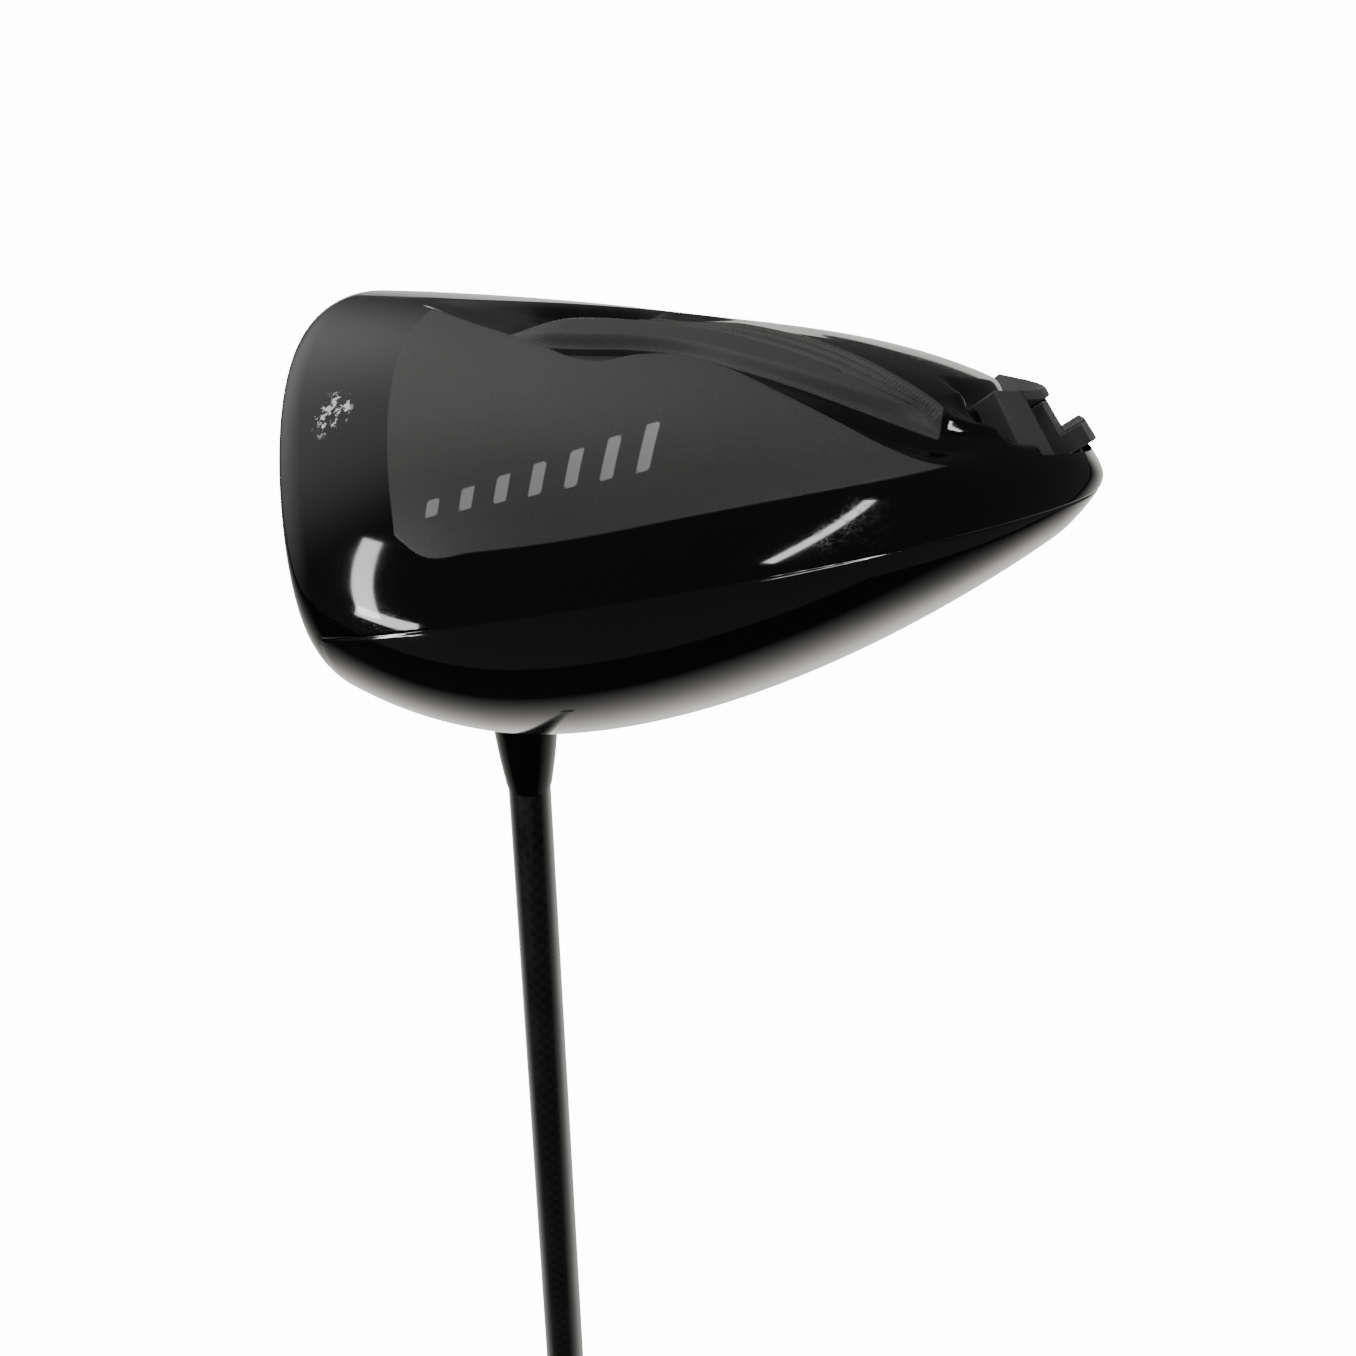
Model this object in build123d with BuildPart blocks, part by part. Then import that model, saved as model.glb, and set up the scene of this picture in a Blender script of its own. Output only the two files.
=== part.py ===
"""Golf driver: a hollow titanium head on an adjustable hosel sleeve, a graphite shaft and a rubber grip.

Club frame: the origin is the centre of the grip's butt end and +Z runs up the shaft's axis to the head.
+X points from the face to the back of the head, and -Y is the side that the toe is on.
Head frame: the head as it sits at address, with X from face to back, Y from heel to toe, Z from sole to
crown, and its origin on the ground under the leading edge. Head pieces are modelled in it, hosel pieces in
the hosel frame, and each is moved into the club frame when it is written. Millimetres throughout.
"""

import os
from math import cos, hypot, pi, radians, sin, sqrt, tan

from build123d import *

os.makedirs("parts", exist_ok=True)

# ---------------------------------------------------------------- driving dimensions
CLUB_LENGTH = 1156.0  # butt end to the ground, along the hosel's axis
LIE = 58.0  # degrees between the hosel's axis and the ground
LOFT = 10.0
SLEEVE_TILT = 1.0  # degrees between the shaft's axis and the hosel's
AXIS_BACK, AXIS_HEEL = 16.5, 28.5  # where the hosel's axis meets the ground

HEAD_LENGTH = 115.3  # face to back
WIDEST_X = 38.5  # station of the greatest width
TOE_HALF, HEEL_HALF = 62.0, 58.0
FACE_TOE_HALF, FACE_HEEL_HALF = 48.7, 48.8
CROWN_TOP, CROWN_TOP_X, CROWN_FRONT = 62.9, 36.2, 50.0
SOLE_LOW_X, SOLE_FRONT = 54.0, 2.2
TAIL_HEIGHT, TAIL_HALF = 16.5, 3.6
EQUATOR_FRONT = 29.8
SQUARENESS = 0.03  # third harmonic that squares up each section a little
FACE_RADIUS = 300.0  # bulge and roll
FACE_CENTRE_Z = 29.0

WALL = 1.2
FACE_THICKNESS = 3.0
FACE_EDGE_ROUND = 4.0
SEAM_FRONT, SEAM_DROP = 50.0, 0.28  # height of the crown seam at X = 0, and its fall per millimetre
CROWN_FRONT_X = 15.0
LEDGE_WIDTH = 6.0
CROWN_NECK_GAP = 17.0  # radius about the hosel's axis that the crown keeps clear
CHANNEL_DEPTH = 0.6

# distances along the hosel's axis from the ground
PORT_LEDGE, WEB_TOP, SLEEVE_END, SHAFT_TIP, HOSEL_TOP = 16.5, 19.5, 36.0, 50.0, 74.0
RING_TOP, SLEEVE_TOP, FERRULE_TOP = 79.0, 90.0, 116.2
PORT_RADIUS = 5.6
NECK_RADIUS, TUBE_RADIUS, BARREL_RADIUS, RING_RADIUS, COLLAR_RADIUS = 7.4, 6.6, 5.4, 7.2, 6.8
BOSS_RADIUS = 8.2
RUN_CLEARANCE = 0.06
SCREW_RADIUS, SCREW_HEAD_RADIUS, SCREW_HEAD_HEIGHT = 2.45, 4.4, 4.2
WASHER_THICKNESS = 1.0
SCREW_TIP, RETAINER_RADIUS = 46.0, 4.3
SCREW_SEAT_GAP, THREAD_BORE = 0.05, SCREW_RADIUS + 0.05
INDEX_TEETH, RING_TABS = 12, 4
TAB_INNER, TAB_OUTER = 5.8, 7.0
TOOTH_HEIGHT, TOOTH_WIDTH, TAB_WIDTH, TOOTH_GAP = 1.4, 1.6, 3.0, 0.12

# weight track: an arc about a line parallel to the head frame's Z
TRACK_AXIS_X, TRACK_RADIUS, TRACK_HEIGHT = 63.0, 45.4, 9.7
TRACK_TILT = 38.0  # degrees that its mouth faces below straight back
HOUSING_HALF_ANGLE, TRACK_HALF_ANGLE, WEIGHT_HALF_ANGLE = 33.5, 23.0, 11.0
RIM_PROUD = 0.6
MOUTH_WIDTH, MOUTH_DEPTH, NECK_WIDTH, NECK_DEPTH = 9.0, 5.0, 7.0, 1.6
CHAMBER_WIDTH, CHAMBER_DEPTH = 11.0, 4.6
TRACK_WALL = 1.5
SLIDE_CLEARANCE = 0.3
WEIGHT_SCREW_RADIUS, WEIGHT_SCREW_HEAD_RADIUS = 2.0, 3.2

PAD_THICKNESS, RIB_PROUD, RIB_LOW = 0.5, 3.2, 1.3
WEIGHT_SCREW_SEAT, WEIGHT_SCREW_TIP = -2.8, -10.4
CLIP_TOP, CLIP_THICKNESS, CLIP_RADIUS = -5.2, 0.5, 2.9
NUT_HALF_ANGLE, NUT_BOTTOM = 7.0, -8.7
THREAD_CLEARANCE = 0.05

SCORE_ROWS, SCORE_LOWEST, SCORE_PITCH = 6, 15.0, 5.0
SCORE_CENTRE, SCORE_LENGTH, SCORE_WIDTH, SCORE_DEPTH = 26.0, 18.0, 0.9, 0.3

SHAFT_BUTT_RADIUS, SHAFT_TIP_RADIUS, SHAFT_WALL = 7.62, 4.25, 1.3
GLUE_GAP = 0.05
TIP_WEIGHT_LENGTH = 18.0
SHAFT_START = 4.0  # height of the shaft's butt inside the grip
GRIP_LENGTH = 268.0
CAP_RADIUS, CAP_HEIGHT, CAP_WALL, VENT_RADIUS = 13.4, 13.0, 4.0, 1.0
TAPE_THICKNESS = 0.2

# ---------------------------------------------------------------- frames
hosel_frame = Plane(
    origin=(0, 0, CLUB_LENGTH - SLEEVE_TOP),
    x_dir=(1, 0, 0),
    z_dir=(0, sin(radians(SLEEVE_TILT)), cos(radians(SLEEVE_TILT))),
).location
lie_sin, lie_cos = sin(radians(LIE)), cos(radians(LIE))
head_frame = hosel_frame * Plane(
    origin=(-AXIS_BACK, -AXIS_HEEL * lie_sin, SLEEVE_TOP + AXIS_HEEL * lie_cos),
    x_dir=(1, 0, 0),
    z_dir=(0, -lie_cos, -lie_sin),
).location
# the hosel's axis as a plane of the head frame: its z runs up the hosel from the ground
hosel_axis = Plane(origin=(AXIS_BACK, -AXIS_HEEL, 0), x_dir=(1, 0, 0), z_dir=(0, -lie_cos, lie_sin))


def write(piece, name, frame=None):
    """Label a finished piece, place it in the club frame and write its STEP file."""
    shape = piece.part if frame is None else piece.part.moved(frame)
    shape.label = name
    export_step(shape, f"parts/{name}.step")


# ---------------------------------------------------------------- head surface
def half_widths(x):
    """Distance of the toe's and the heel's side from the head's centre line, at station x."""
    if x < WIDEST_X:
        share = ((WIDEST_X - x) / WIDEST_X) ** 2.2
        return TOE_HALF - (TOE_HALF - FACE_TOE_HALF) * share, HEEL_HALF - (HEEL_HALF - FACE_HEEL_HALF) * share
    share = sqrt(max(0.0, 1 - ((x - WIDEST_X) / (HEAD_LENGTH - WIDEST_X)) ** 2))
    return TOE_HALF * share, HEEL_HALF * share


def heights(x):
    """Highest crown point and lowest sole point at station x, rounded together at the trailing edge."""
    if x < CROWN_TOP_X:
        top = CROWN_TOP - (CROWN_TOP - CROWN_FRONT) * ((CROWN_TOP_X - x) / CROWN_TOP_X) ** 2.2
    else:
        run = (x - CROWN_TOP_X) / (HEAD_LENGTH - CROWN_TOP_X)
        top = CROWN_TOP - (CROWN_TOP - TAIL_HEIGHT - TAIL_HALF) * run**1.69
    if x < SOLE_LOW_X:
        low = SOLE_FRONT * ((SOLE_LOW_X - x) / SOLE_LOW_X) ** 2.5
    else:
        low = (TAIL_HEIGHT - TAIL_HALF) * ((x - SOLE_LOW_X) / (HEAD_LENGTH - SOLE_LOW_X)) ** 3.2
    ease = min(1.0, (HEAD_LENGTH - x) / 6.0)
    ease = sqrt(1 - (1 - ease) ** 2)
    middle = (top + low) / 2
    return middle + (top - middle) * ease, middle + (low - middle) * ease


def section_point(x, angle, inset):
    """Point (y, z) of the head's section at station x, moved inwards by inset within the section."""
    toe, heel = half_widths(x)
    top, low = heights(x)
    equator = EQUATOR_FRONT + (TAIL_HEIGHT - EQUATOR_FRONT) * max(0.0, x / HEAD_LENGTH) ** 1.5
    half, middle = (toe + heel) / 2, (toe - heel) / 2
    mean, lean = (top - low) / 2, (top + low) / 2 - equator

    def curve(a):
        across = (cos(a) - SQUARENESS * cos(3 * a)) / (1 - SQUARENESS)
        rise = (sin(a) + SQUARENESS * sin(3 * a)) / (1 - SQUARENESS)
        return middle + half * across, equator + mean * rise + lean * rise**2

    y, z = curve(angle)
    (y0, z0), (y1, z1) = curve(angle - 1e-3), curve(angle + 1e-3)
    dy, dz = y1 - y0, z1 - z0
    return y - inset * dz / hypot(dy, dz), z + inset * dy / hypot(dy, dz)


STATIONS = (-4, 4, 13, 24, 36, 49, 62, 75, 87, 97, 104.5, 109.5, 112.6, 114.4, 115.1)
CAVITY_STATIONS = (-4, 4, 13, 24, 36, 49, 62, 75, 87, 97, 104.5, 109.0)
SECTION_POINTS = 20


def head_solid(inset, stations=CAVITY_STATIONS):
    """Loft of the head's sections, each moved inwards by inset, with no face cut yet."""
    with BuildPart() as solid:
        for x in stations:
            with BuildSketch(Plane.YZ.offset(x)):
                with BuildLine():
                    Spline(
                        *(section_point(x, 2 * pi * n / SECTION_POINTS, inset) for n in range(SECTION_POINTS)),
                        periodic=True,
                    )
                make_face()
        loft()
    return solid.part


face_centre = ((FACE_CENTRE_Z - 6) * tan(radians(LOFT)), 0, FACE_CENTRE_Z)
face_plane = Plane(origin=face_centre, x_dir=(0, 1, 0), z_dir=(-cos(radians(LOFT)), 0, sin(radians(LOFT))))


def face_ball(depth):
    """Sphere whose front is the bulged face, moved back into the head by depth."""
    centre = face_plane.offset(-FACE_RADIUS - depth)
    with BuildPart() as ball:
        # the sphere's seam and poles are turned away from the face
        with Locations(Plane(origin=centre.origin, x_dir=-centre.z_dir, z_dir=(0, 1, 0)).location):
            Sphere(FACE_RADIUS)
    return ball.part


def above_seam(offset):
    """Everything above the crown seam's plane, moved down by offset, behind the crown's front edge."""
    profile = [
        (CROWN_FRONT_X - offset, SEAM_FRONT - SEAM_DROP * CROWN_FRONT_X - offset),
        (HEAD_LENGTH + 10, SEAM_FRONT - SEAM_DROP * (HEAD_LENGTH + 10) - offset),
        (HEAD_LENGTH + 10, 90),
        (CROWN_FRONT_X - offset, 90),
    ]
    with BuildPart() as region:
        with BuildSketch(Plane.XZ):
            with BuildLine():
                Polyline(*profile, close=True)
            make_face()
        extrude(amount=90, both=True)
        with BuildSketch(hosel_axis.offset(20)):
            Circle(CROWN_NECK_GAP - offset)
        extrude(amount=80, mode=Mode.SUBTRACT)
    return region.part


def axis_solid(points, about=hosel_axis):
    """Solid of revolution about an axis, from (radius, distance along it) points."""
    with BuildPart() as turned:
        with BuildSketch(Plane(origin=about.origin, x_dir=about.x_dir, z_dir=-about.y_dir)):
            with BuildLine():
                Polyline(*points, close=True)
            make_face()
        revolve(axis=Axis(about.origin, about.z_dir))
    return turned.part


# ---------------------------------------------------------------- weight track profiles
track_axis = Axis((TRACK_AXIS_X, 0, 0), (0, 0, 1))
tilt_sin, tilt_cos = sin(radians(TRACK_TILT)), cos(radians(TRACK_TILT))


def track_plane(angle):
    """Plane of the track's profile: its x runs out of the mouth and its y runs across it, up the skirt."""
    c, s = cos(radians(angle)), sin(radians(angle))
    return Plane(
        origin=(TRACK_AXIS_X + TRACK_RADIUS * c, TRACK_RADIUS * s, TRACK_HEIGHT),
        x_dir=(tilt_cos * c, tilt_cos * s, -tilt_sin),
        z_dir=(s, -c, 0),
    )


def swept(half_angle, rectangles):
    """Rectangles (out, in, low, high) of the profile plane swept along the arc, between +-half_angle."""
    with BuildPart() as sector:
        with BuildSketch(track_plane(-half_angle)):
            for outer, inner, low, high in rectangles:
                with Locations(((outer + inner) / 2, (low + high) / 2)):
                    Rectangle(outer - inner, high - low)
        revolve(axis=track_axis, revolution_arc=2 * half_angle)
    return sector.part


neck_bottom = -MOUTH_DEPTH - NECK_DEPTH
chamber_bottom = neck_bottom - CHAMBER_DEPTH
mouth, throat, chamber = MOUTH_WIDTH / 2, NECK_WIDTH / 2, CHAMBER_WIDTH / 2
rim, shoulder = mouth + TRACK_WALL, chamber + TRACK_WALL
housing = swept(
    HOUSING_HALF_ANGLE,
    [(RIM_PROUD, neck_bottom, -rim, rim), (-MOUTH_DEPTH, chamber_bottom - TRACK_WALL, -shoulder, shoulder)],
)
track_void = swept(
    TRACK_HALF_ANGLE,
    [
        (8, -MOUTH_DEPTH, -mouth, mouth),
        (0, neck_bottom, -throat, throat),
        (neck_bottom, chamber_bottom, -chamber, chamber),
    ],
)


def torx(across):
    """Six-lobed socket."""
    with BuildSketch() as socket:
        Circle(across * 0.36)
        with PolarLocations(across * 0.36, 6):
            Circle(across * 0.14)
    return socket.sketch


# ---------------------------------------------------------------- head shell
neck = axis_solid(
    [(0, 28), (11, 28), (12.5, 36), (11.5, 44), (9.4, 52), (8, 60)]
    + [(NECK_RADIUS, 67), (NECK_RADIUS, HOSEL_TOP), (0, HOSEL_TOP)]
)

with BuildPart() as skin:
    add(head_solid(0, STATIONS))
    add(face_ball(0), mode=Mode.INTERSECT)
    fillet(skin.faces().filter_by(GeomType.SPHERE).edges(), FACE_EDGE_ROUND)

with BuildPart() as cavity:
    add(head_solid(WALL))
    add(face_ball(FACE_THICKNESS), mode=Mode.INTERSECT)

with BuildPart() as ledge_cavity:
    add(head_solid(WALL + 1.0))
    add(face_ball(FACE_THICKNESS), mode=Mode.INTERSECT)

with BuildPart() as face_region:
    with BuildSketch(face_plane.offset(-12)):
        with BuildLine():
            Spline(
                (47, 0), (38, 13), (15, 20), (-15, 20), (-33, 13), (-39, 0), (-30, -13), (0, -19), (34, -14),
                periodic=True,
            )
        make_face()
    extrude(amount=30)

# ---------------------------------------------------------------- sole pockets
def pocket_region(side):
    """Prism over the pocket beside the keel, on the toe's side (1) or the heel's (-1)."""
    ridge = [(16, 22), (29, 35.5), (42, 44.5), (50, 44.5), (60, 41), (76, 45.5), (90, 42)]
    keel = [(88, 34), (72, 24), (58, 16.5), (44, 12), (28, 15)]
    with BuildPart() as region:
        with BuildSketch(Plane.XY.offset(-2)):
            with BuildLine():
                Spline(*((x, side * y) for x, y in ridge + keel), periodic=True)
            make_face()
        extrude(amount=26)
    return region.part


pocket_floor = head_solid(CHANNEL_DEPTH)


def pocket_cut(side):
    """Everything under a pocket's floor."""
    with BuildPart() as cut:
        add(pocket_region(side))
        add(pocket_floor, mode=Mode.SUBTRACT)
    return cut.part


with BuildPart() as ring_slots:
    with BuildSketch(hosel_axis.offset(HOSEL_TOP - TOOTH_HEIGHT - TOOTH_GAP)):
        with PolarLocations(6.5, RING_TABS):
            Rectangle(4, TAB_WIDTH + 2 * TOOTH_GAP)
    extrude(amount=TOOTH_HEIGHT + TOOTH_GAP + 1)

with BuildPart() as boss:
    add(axis_solid([(0, 2), (BOSS_RADIUS, 2), (BOSS_RADIUS, 50), (0, 50)]))
    add(skin.part, mode=Mode.INTERSECT)

with BuildPart() as seam_ledge:
    add(cavity.part)
    add(ledge_cavity.part, mode=Mode.SUBTRACT)
    add(above_seam(LEDGE_WIDTH), mode=Mode.INTERSECT)
    add(above_seam(-LEDGE_WIDTH), mode=Mode.SUBTRACT)

with BuildPart() as shell:
    add(skin.part)
    add(neck)
    add(cavity.part, mode=Mode.SUBTRACT)

with BuildPart() as crown_shell:
    add(shell.part)
    add(above_seam(0), mode=Mode.INTERSECT)

with BuildPart() as plain_face:
    add(shell.part)
    add(face_region.part, mode=Mode.INTERSECT)

with BuildPart() as body_shell:
    add(shell.part)
    add(above_seam(0), mode=Mode.SUBTRACT)
    add(face_region.part, mode=Mode.SUBTRACT)
    add(seam_ledge.part)
    add(boss.part)
    add(housing)
    add(track_void, mode=Mode.SUBTRACT)
    for side in (1, -1):
        add(pocket_cut(side), mode=Mode.SUBTRACT)
    for radius, start, end in ((PORT_RADIUS, -9, PORT_LEDGE), (TUBE_RADIUS, PORT_LEDGE, 90)):
        add(axis_solid([(0, start), (radius, start), (radius, end), (0, end)]), mode=Mode.SUBTRACT)
    add(ring_slots.part, mode=Mode.SUBTRACT)
write(body_shell, "body_shell", head_frame)
write(crown_shell, "crown_shell", head_frame)

with BuildPart(mode=Mode.PRIVATE) as score_lines:
    for row in range(SCORE_ROWS):
        for side in (1, -1):
            with Locations((0, side * SCORE_CENTRE, SCORE_LOWEST + row * SCORE_PITCH)):
                Box(60, SCORE_LENGTH, SCORE_WIDTH)
    add(face_ball(SCORE_DEPTH), mode=Mode.SUBTRACT)

with BuildPart() as face_plate:
    add(plain_face.part)
    add(score_lines.part, mode=Mode.SUBTRACT)
write(face_plate, "face_plate", head_frame)

with BuildPart() as hosel_tube:
    add(
        axis_solid(
            [
                (SCREW_RADIUS + SLIDE_CLEARANCE, PORT_LEDGE),
                (TUBE_RADIUS, PORT_LEDGE),
                (TUBE_RADIUS, HOSEL_TOP),
                (BARREL_RADIUS + RUN_CLEARANCE, HOSEL_TOP),
                (BARREL_RADIUS + RUN_CLEARANCE, WEB_TOP),
                (SCREW_RADIUS + SLIDE_CLEARANCE, WEB_TOP),
            ]
        )
    )
    add(ring_slots.part, mode=Mode.SUBTRACT)
write(hosel_tube, "hosel_tube", head_frame)

# ---------------------------------------------------------------- sliding weight
screw_line = track_plane(0)
weight_axis = Plane(origin=screw_line.origin, x_dir=screw_line.y_dir, z_dir=screw_line.x_dir)
half_mouth, half_chamber = mouth - SLIDE_CLEARANCE, chamber - SLIDE_CLEARANCE
pad_top = -MOUTH_DEPTH + SLIDE_CLEARANCE + PAD_THICKNESS

with BuildPart() as slide_weight:
    add(
        swept(
            WEIGHT_HALF_ANGLE,
            [(-0.2, pad_top, -half_mouth, half_mouth), (RIB_PROUD, -0.5, RIB_LOW, half_mouth)],
        )
    )
    with BuildSketch(weight_axis.offset(pad_top - 1)):
        Circle(WEIGHT_SCREW_RADIUS + SLIDE_CLEARANCE)
    extrude(amount=10, mode=Mode.SUBTRACT)
    with BuildSketch(weight_axis.offset(WEIGHT_SCREW_SEAT)):
        Circle(WEIGHT_SCREW_HEAD_RADIUS + SLIDE_CLEARANCE)
    extrude(amount=10, mode=Mode.SUBTRACT)
write(slide_weight, "slide_weight", head_frame)

with BuildPart() as weight_pad:
    add(swept(WEIGHT_HALF_ANGLE - 1, [(pad_top, pad_top - PAD_THICKNESS, 0.3 - half_mouth, half_mouth - 0.3)]))
    with BuildSketch(weight_axis.offset(pad_top - 1)):
        Circle(WEIGHT_SCREW_RADIUS + SLIDE_CLEARANCE)
    extrude(amount=2, mode=Mode.SUBTRACT)
write(weight_pad, "weight_pad", head_frame)

with BuildPart() as weight_screw:
    with BuildSketch(weight_axis.offset(WEIGHT_SCREW_TIP)):
        Circle(WEIGHT_SCREW_RADIUS)
    extrude(amount=WEIGHT_SCREW_SEAT - WEIGHT_SCREW_TIP)
    with BuildSketch(weight_axis.offset(WEIGHT_SCREW_SEAT)):
        Circle(WEIGHT_SCREW_HEAD_RADIUS)
    extrude(amount=-WEIGHT_SCREW_SEAT - 0.5)
    chamfer(weight_screw.faces().sort_by(Axis(weight_axis.origin, weight_axis.z_dir))[-1].edges(), 0.3)
    with BuildSketch(weight_axis.offset(-0.5)):
        add(torx(3.9))
    extrude(amount=-1.5, mode=Mode.SUBTRACT)
write(weight_screw, "weight_screw", head_frame)

with BuildPart() as weight_clip:
    with BuildSketch(weight_axis.offset(CLIP_TOP - CLIP_THICKNESS)):
        Circle(CLIP_RADIUS)
        Circle(WEIGHT_SCREW_RADIUS, mode=Mode.SUBTRACT)
        with Locations((CLIP_RADIUS, 0)):
            Rectangle(2.4, 1.6, mode=Mode.SUBTRACT)
    extrude(amount=CLIP_THICKNESS)
write(weight_clip, "weight_screw_clip", head_frame)

with BuildPart() as weight_nut:
    add(swept(NUT_HALF_ANGLE, [(neck_bottom - SLIDE_CLEARANCE, NUT_BOTTOM, -half_chamber, half_chamber)]))
    with BuildSketch(weight_axis.offset(NUT_BOTTOM - 1)):
        Circle(WEIGHT_SCREW_RADIUS + THREAD_CLEARANCE)
    extrude(amount=6, mode=Mode.SUBTRACT)
write(weight_nut, "weight_nut", head_frame)

# ---------------------------------------------------------------- hosel screw
head_bottom = PORT_LEDGE - WASHER_THICKNESS - SCREW_HEAD_HEIGHT
with BuildPart() as hosel_screw:
    add(
        axis_solid(
            [
                (0, head_bottom),
                (SCREW_HEAD_RADIUS - 0.4, head_bottom),
                (SCREW_HEAD_RADIUS, head_bottom + 0.4),
                (SCREW_HEAD_RADIUS, PORT_LEDGE - WASHER_THICKNESS - SCREW_SEAT_GAP),
                (SCREW_RADIUS, PORT_LEDGE - WASHER_THICKNESS - SCREW_SEAT_GAP),
                (SCREW_RADIUS, SCREW_TIP - 0.6),
                (SCREW_RADIUS - 0.6, SCREW_TIP),
                (0, SCREW_TIP),
            ]
        )
    )
    with BuildSketch(hosel_axis.offset(head_bottom)):
        add(torx(5.4))
    extrude(amount=2.6, mode=Mode.SUBTRACT)
write(hosel_screw, "hosel_screw", head_frame)

with BuildPart() as hosel_washer:
    with BuildSketch(hosel_axis.offset(PORT_LEDGE - WASHER_THICKNESS)):
        Circle(PORT_RADIUS)
        Circle(SCREW_RADIUS + SLIDE_CLEARANCE, mode=Mode.SUBTRACT)
    extrude(amount=WASHER_THICKNESS)
write(hosel_washer, "hosel_screw_washer", head_frame)

with BuildPart() as screw_retainer:
    with BuildSketch(hosel_axis.offset(WEB_TOP + 0.5)):
        Circle(RETAINER_RADIUS)
        Circle(SCREW_RADIUS, mode=Mode.SUBTRACT)
    extrude(amount=1.6)
write(screw_retainer, "hosel_screw_retainer", head_frame)

# ---------------------------------------------------------------- indexing ring and adapter sleeve
with BuildPart() as adjuster_ring:
    add(
        axis_solid(
            [
                (BARREL_RADIUS + RUN_CLEARANCE, HOSEL_TOP + TOOTH_GAP),
                (RING_RADIUS, HOSEL_TOP + TOOTH_GAP),
                (RING_RADIUS, RING_TOP - TOOTH_GAP),
                (BARREL_RADIUS + RUN_CLEARANCE, RING_TOP - TOOTH_GAP),
            ]
        )
    )
    with BuildSketch(hosel_axis.offset(HOSEL_TOP - TOOTH_HEIGHT)):
        with PolarLocations((TAB_OUTER + TAB_INNER) / 2, RING_TABS):
            Rectangle(TAB_OUTER - TAB_INNER, TAB_WIDTH)
    extrude(amount=TOOTH_HEIGHT + 2 * TOOTH_GAP)
    with BuildSketch(hosel_axis.offset(RING_TOP - TOOTH_HEIGHT - 2 * TOOTH_GAP)):
        with PolarLocations(6.5, INDEX_TEETH):
            Rectangle(4, TOOTH_WIDTH + 2 * TOOTH_GAP)
    extrude(amount=4, mode=Mode.SUBTRACT)
write(adjuster_ring, "adjuster_ring", head_frame)

with BuildPart() as adapter_sleeve:
    add(
        axis_solid(
            [
                (0, SLEEVE_END),
                (BARREL_RADIUS - 0.6, SLEEVE_END),
                (BARREL_RADIUS, SLEEVE_END + 0.6),
                (BARREL_RADIUS, RING_TOP),
                (RING_RADIUS, RING_TOP),
                (COLLAR_RADIUS, SLEEVE_TOP - 0.5),
                (0, SLEEVE_TOP - 0.5),
            ]
        )
    )
    with BuildSketch(hosel_axis.offset(RING_TOP - TOOTH_HEIGHT)):
        with PolarLocations((TAB_OUTER + TAB_INNER) / 2, INDEX_TEETH):
            Rectangle(TAB_OUTER - TAB_INNER, TOOTH_WIDTH)
    extrude(amount=TOOTH_HEIGHT + 0.2)
    add(
        axis_solid([(0, 0), (THREAD_BORE, 0), (THREAD_BORE, SHAFT_TIP - 2), (0, SHAFT_TIP - 2)]),
        mode=Mode.SUBTRACT,
    )

with BuildPart() as bored_sleeve:
    add(adapter_sleeve.part.moved(head_frame))
    with BuildSketch(Plane.XY.offset(CLUB_LENGTH - SLEEVE_TOP - 2)):
        Circle(SHAFT_TIP_RADIUS + GLUE_GAP)
    extrude(amount=SLEEVE_TOP - SHAFT_TIP + 2, mode=Mode.SUBTRACT)
write(bored_sleeve, "adapter_sleeve")

# ---------------------------------------------------------------- shaft, ferrule and grip
def turned(*points):
    """Solid of revolution about the club's axis, from (radius, height) points."""
    with BuildPart() as solid:
        with BuildSketch(Plane.XZ):
            with BuildLine():
                Polyline(*points, close=True)
            make_face()
        revolve(axis=Axis.Z)
    return solid.part


shaft_tip, taper_end = CLUB_LENGTH - SHAFT_TIP, CLUB_LENGTH - FERRULE_TOP


def shaft_radius(z):
    """Outside radius of the shaft at height z."""
    share = (z - SHAFT_START) / (taper_end - SHAFT_START)
    return SHAFT_BUTT_RADIUS - (SHAFT_BUTT_RADIUS - SHAFT_TIP_RADIUS) * share


with BuildPart() as shaft:
    add(
        turned(
            (SHAFT_BUTT_RADIUS - SHAFT_WALL, SHAFT_START),
            (SHAFT_BUTT_RADIUS, SHAFT_START),
            (SHAFT_TIP_RADIUS, taper_end),
            (SHAFT_TIP_RADIUS, shaft_tip),
            (SHAFT_TIP_RADIUS - SHAFT_WALL, shaft_tip),
            (SHAFT_TIP_RADIUS - SHAFT_WALL, taper_end),
        )
    )
write(shaft, "shaft")

with BuildPart() as tip_weight:
    with BuildSketch(Plane.XY.offset(shaft_tip - TIP_WEIGHT_LENGTH - 1)):
        Circle(SHAFT_TIP_RADIUS - SHAFT_WALL - GLUE_GAP)
    extrude(amount=TIP_WEIGHT_LENGTH)
write(tip_weight, "tip_weight")

ferrule_bottom, ferrule_top = CLUB_LENGTH - FERRULE_TOP, CLUB_LENGTH - SLEEVE_TOP
with BuildPart() as ferrule:
    bore = SHAFT_TIP_RADIUS + GLUE_GAP
    with BuildSketch(Plane.XZ):
        with BuildLine():
            Line((bore, ferrule_top), (COLLAR_RADIUS, ferrule_top))
            Spline(
                (COLLAR_RADIUS, ferrule_top),
                (COLLAR_RADIUS - 0.5, ferrule_top - 10),
                (SHAFT_TIP_RADIUS + 0.35, ferrule_bottom),
            )
            Line((SHAFT_TIP_RADIUS + 0.35, ferrule_bottom), (bore, ferrule_bottom))
            Line((bore, ferrule_bottom), (bore, ferrule_top))
        make_face()
    revolve(axis=Axis.Z)
write(ferrule, "ferrule")

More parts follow.
